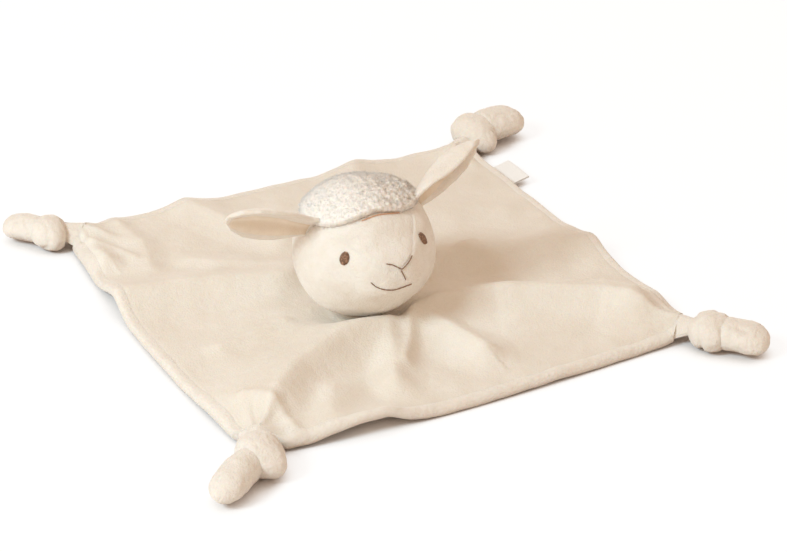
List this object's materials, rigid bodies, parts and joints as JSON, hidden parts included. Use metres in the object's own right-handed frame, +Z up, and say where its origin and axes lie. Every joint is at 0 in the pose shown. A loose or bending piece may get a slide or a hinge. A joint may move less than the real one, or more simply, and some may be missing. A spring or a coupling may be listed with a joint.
{
  "type": "comfort blanket lovey",
  "caption": "Flat square comfort blanket with a stuffed lamb's head on a short neck, droopy lined ears, knotted corners and a folded ribbon label on one edge.",
  "frame": {"origin": "middle of the blanket's flat underside, on the surface it lies on", "axes": "+Z up, -Y the way the lamb's face looks, +X to the right of someone facing the lamb"},
  "size_m": [0.3442, 0.3304, 0.0922],
  "materials": {
    "velour": "short cream velour pile",
    "plush": "cream plush, longer soft pile",
    "fleece": "off-white fluffy fleece",
    "ear_lining": "smooth peach-tan knit",
    "filling": "white polyester fibre",
    "thread": "brown embroidery thread, slight sheen",
    "ribbon": "white satin ribbon, bare"
  },
  "bodies": {
    "blanket": {"backing_panel": "plush", "top_panel": "velour", "neck_stitching": "thread"},
    "neck": {"neck_stub": "velour"},
    "head": {"head_stuffing": "filling", "crown_fleece": "fleece", "forehead_gusset": "velour", "cheek_left": "velour", "cheek_right": "velour", "back_of_head": "velour", "eye_left": "thread", "eye_right": "thread", "nose_stitch": "thread", "lip_stitch": "thread", "mouth_stitch": "thread"},
    "ear_left": {"ear_left": "velour", "ear_lining_left": "ear_lining"},
    "ear_right": {"ear_right": "velour", "ear_lining_right": "ear_lining"},
    "corner_front_left": {"sleeve_front_left": "plush", "knot_front_left": "plush"},
    "tail_front_left": {"tail_front_left": "plush"},
    "corner_front_right": {"sleeve_front_right": "plush", "knot_front_right": "plush"},
    "tail_front_right": {"tail_front_right": "plush"},
    "corner_back_right": {"sleeve_back_right": "plush", "knot_back_right": "plush"},
    "tail_back_right": {"tail_back_right": "plush"},
    "corner_back_left": {"sleeve_back_left": "plush", "knot_back_left": "plush"},
    "tail_back_left": {"tail_back_left": "plush"},
    "label": {"edge_label": "ribbon"}
  },
  "joints": [
    {"name": "head_turn", "type": "hinge", "parent": "blanket", "child": "neck", "pos_m": [-0.0176, -0.0205, 0.009], "axis": [0, 0, 1], "range_deg": [-40, 40]},
    {"name": "head_tip_back", "type": "hinge", "parent": "neck", "child": "head", "pos_m": [-0.0176, -0.0205, 0.009], "axis": [-1, 0, 0], "range_deg": [0, 36]},
    {"name": "ear_left_flap", "type": "hinge", "parent": "head", "child": "ear_left", "pos_m": [-0.05176, -0.0366, 0.06693], "axis": [0, 1, 0], "range_deg": [-38, 25], "stiffness_Nm_per_rad": 0.012},
    {"name": "ear_right_flap", "type": "hinge", "parent": "head", "child": "ear_right", "pos_m": [0.0083, -0.03987, 0.07012], "axis": [0, -1, 0], "range_deg": [-50, 20], "stiffness_Nm_per_rad": 0.012},
    {"name": "corner_front_left_lift", "type": "hinge", "parent": "blanket", "child": "corner_front_left", "pos_m": [-0.12592, -0.12592, 0.003], "axis": [-0.7071, 0.7071, 0], "range_deg": [0, 65]},
    {"name": "tail_front_left_lift", "type": "hinge", "parent": "corner_front_left", "child": "tail_front_left", "pos_m": [-0.1436, -0.1476, 0.00896], "axis": [-0.6018, 0.7986, 0], "range_deg": [0, 30]},
    {"name": "corner_front_right_lift", "type": "hinge", "parent": "blanket", "child": "corner_front_right", "pos_m": [0.12592, -0.12592, 0.003], "axis": [-0.7071, -0.7071, 0], "range_deg": [0, 65]},
    {"name": "tail_front_right_lift", "type": "hinge", "parent": "corner_front_right", "child": "tail_front_right", "pos_m": [0.13997, -0.14766, 0.0083], "axis": [-0.7314, -0.682, 0], "range_deg": [0, 30]},
    {"name": "corner_back_right_lift", "type": "hinge", "parent": "blanket", "child": "corner_back_right", "pos_m": [0.12592, 0.12592, 0.003], "axis": [0.7071, -0.7071, 0], "range_deg": [0, 65]},
    {"name": "tail_back_right_lift", "type": "hinge", "parent": "corner_back_right", "child": "tail_back_right", "pos_m": [0.14849, 0.13934, 0.00863], "axis": [0.1219, -0.9925, 0], "range_deg": [0, 30]},
    {"name": "corner_back_left_lift", "type": "hinge", "parent": "blanket", "child": "corner_back_left", "pos_m": [-0.12592, 0.12592, 0.003], "axis": [0.7071, 0.7071, 0], "range_deg": [0, 65]},
    {"name": "tail_back_left_lift", "type": "hinge", "parent": "corner_back_left", "child": "tail_back_left", "pos_m": [-0.14525, 0.13897, 0.00764], "axis": [0.7986, 0.6018, 0], "range_deg": [0, 30]},
    {"name": "label_flip", "type": "hinge", "parent": "blanket", "child": "label", "pos_m": [0.1334, 0.085, 0.003], "axis": [0, -1, 0], "range_deg": [-12, 80], "stiffness_Nm_per_rad": 0.0003}
  ]
}
